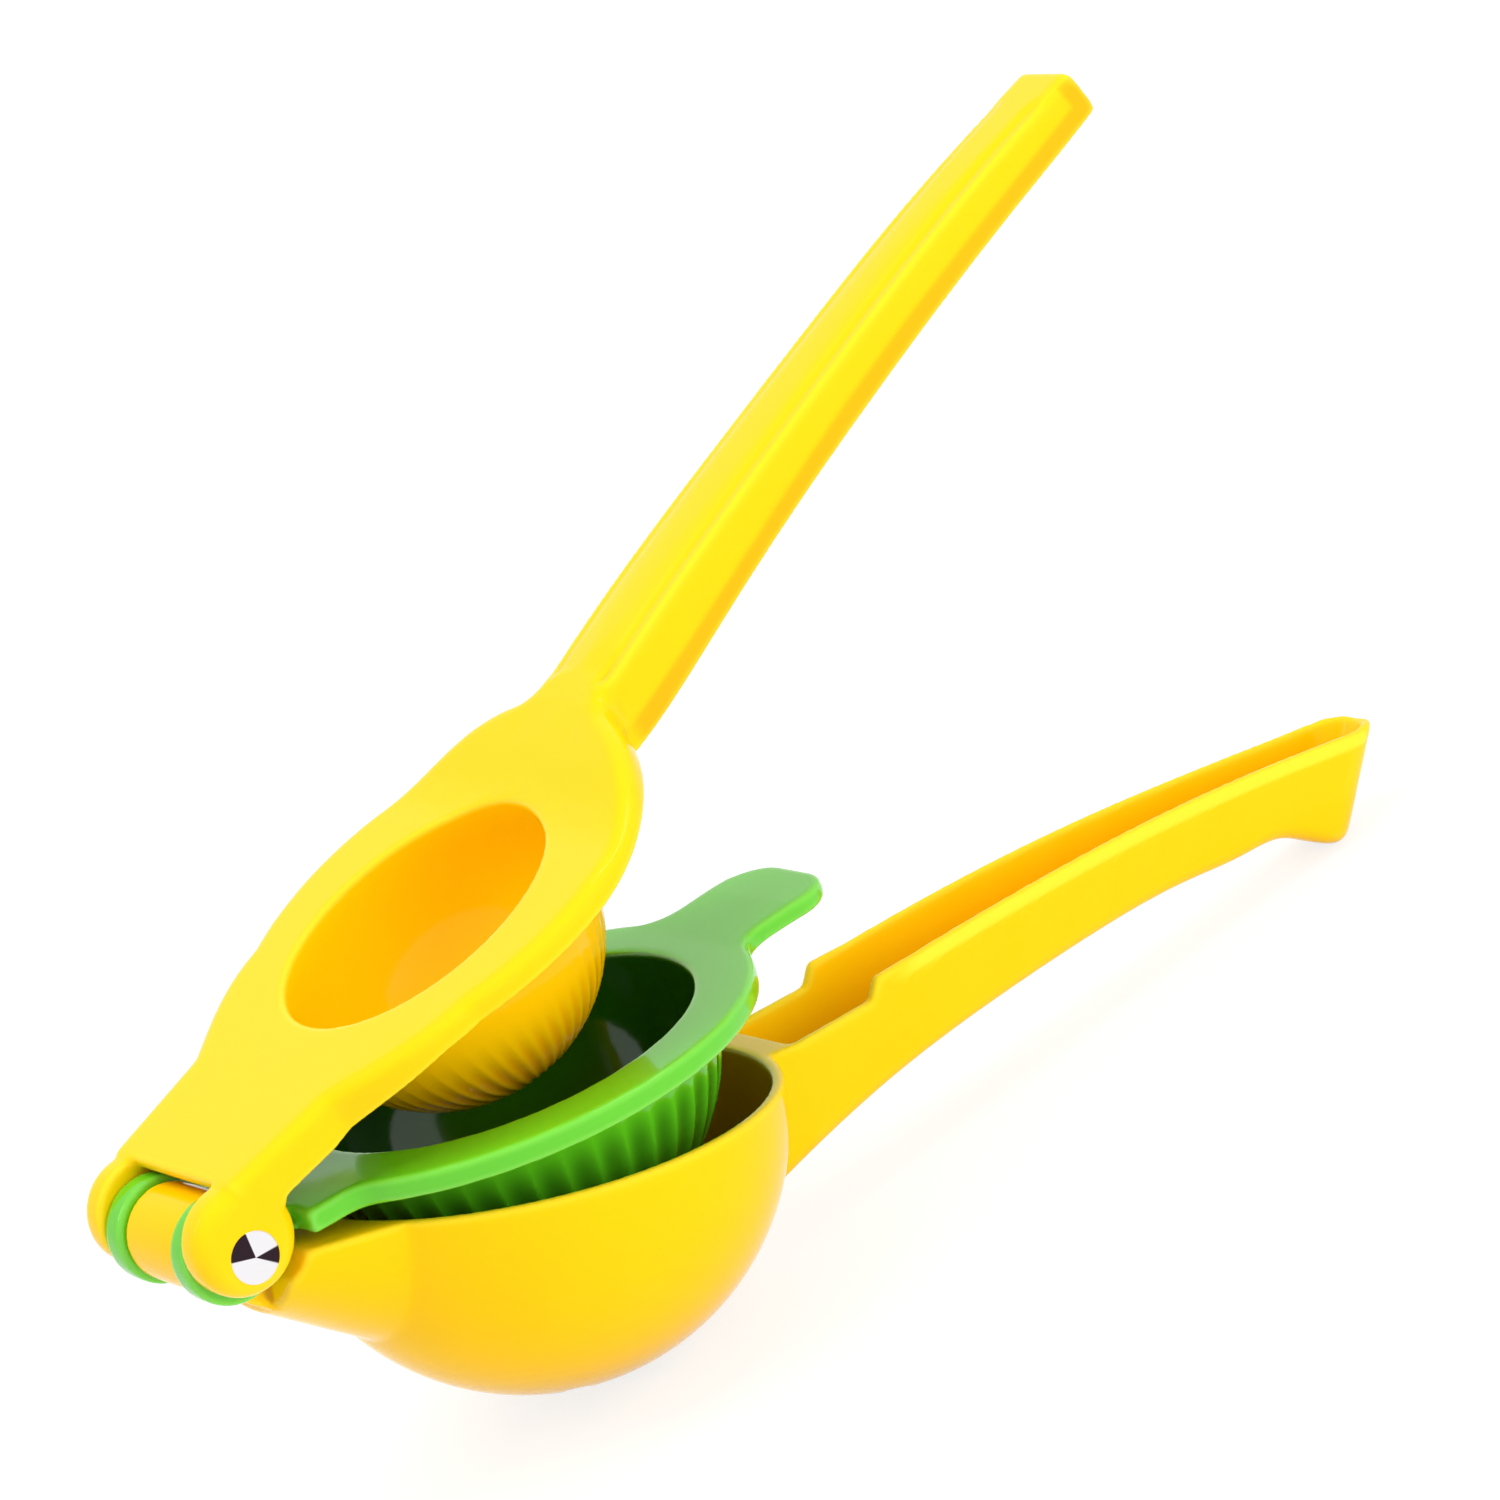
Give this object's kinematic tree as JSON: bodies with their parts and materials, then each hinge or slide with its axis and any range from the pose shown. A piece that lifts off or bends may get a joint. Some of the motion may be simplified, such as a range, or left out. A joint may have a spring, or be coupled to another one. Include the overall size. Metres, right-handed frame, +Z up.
{
  "type": "citrus squeezer",
  "caption": "Hinged hand citrus squeezer: slotted bowl arm, nested slotted lime cup with a thumb tab and domed press arm on a cross pin, in enamelled cast metal with channelled handles.",
  "frame": {"origin": "on the table under the middle of the whole tool, at rest with the press arm open", "axes": "+X from the hinge to the handles, +Y across the tool to the side with the pin's cap, +Z up from the table"},
  "size_m": [0.2174, 0.0778, 0.1295],
  "materials": {
    "yellow_enamel": "gloss enamel over a casting",
    "green_enamel": "gloss enamel over a casting",
    "pin_steel": "turned and polished"
  },
  "bodies": {
    "bowl": {"bowl_arm": "yellow_enamel"},
    "lime": {"lime_cup": "green_enamel"},
    "press": {"press_arm": "yellow_enamel", "hinge_pin": "pin_steel", "pin_cap": "pin_steel"}
  },
  "joints": [
    {"name": "lime_hinge", "type": "hinge", "parent": "bowl", "child": "lime", "pos_m": [-0.1009, 0, 0.05295], "axis": [0, -1, 0], "range_deg": [-9.3, 60]},
    {"name": "press_hinge", "type": "hinge", "parent": "lime", "child": "press", "pos_m": [-0.1009, 0, 0.05295], "axis": [0, -1, 0], "range_deg": [-19, 55]}
  ]
}
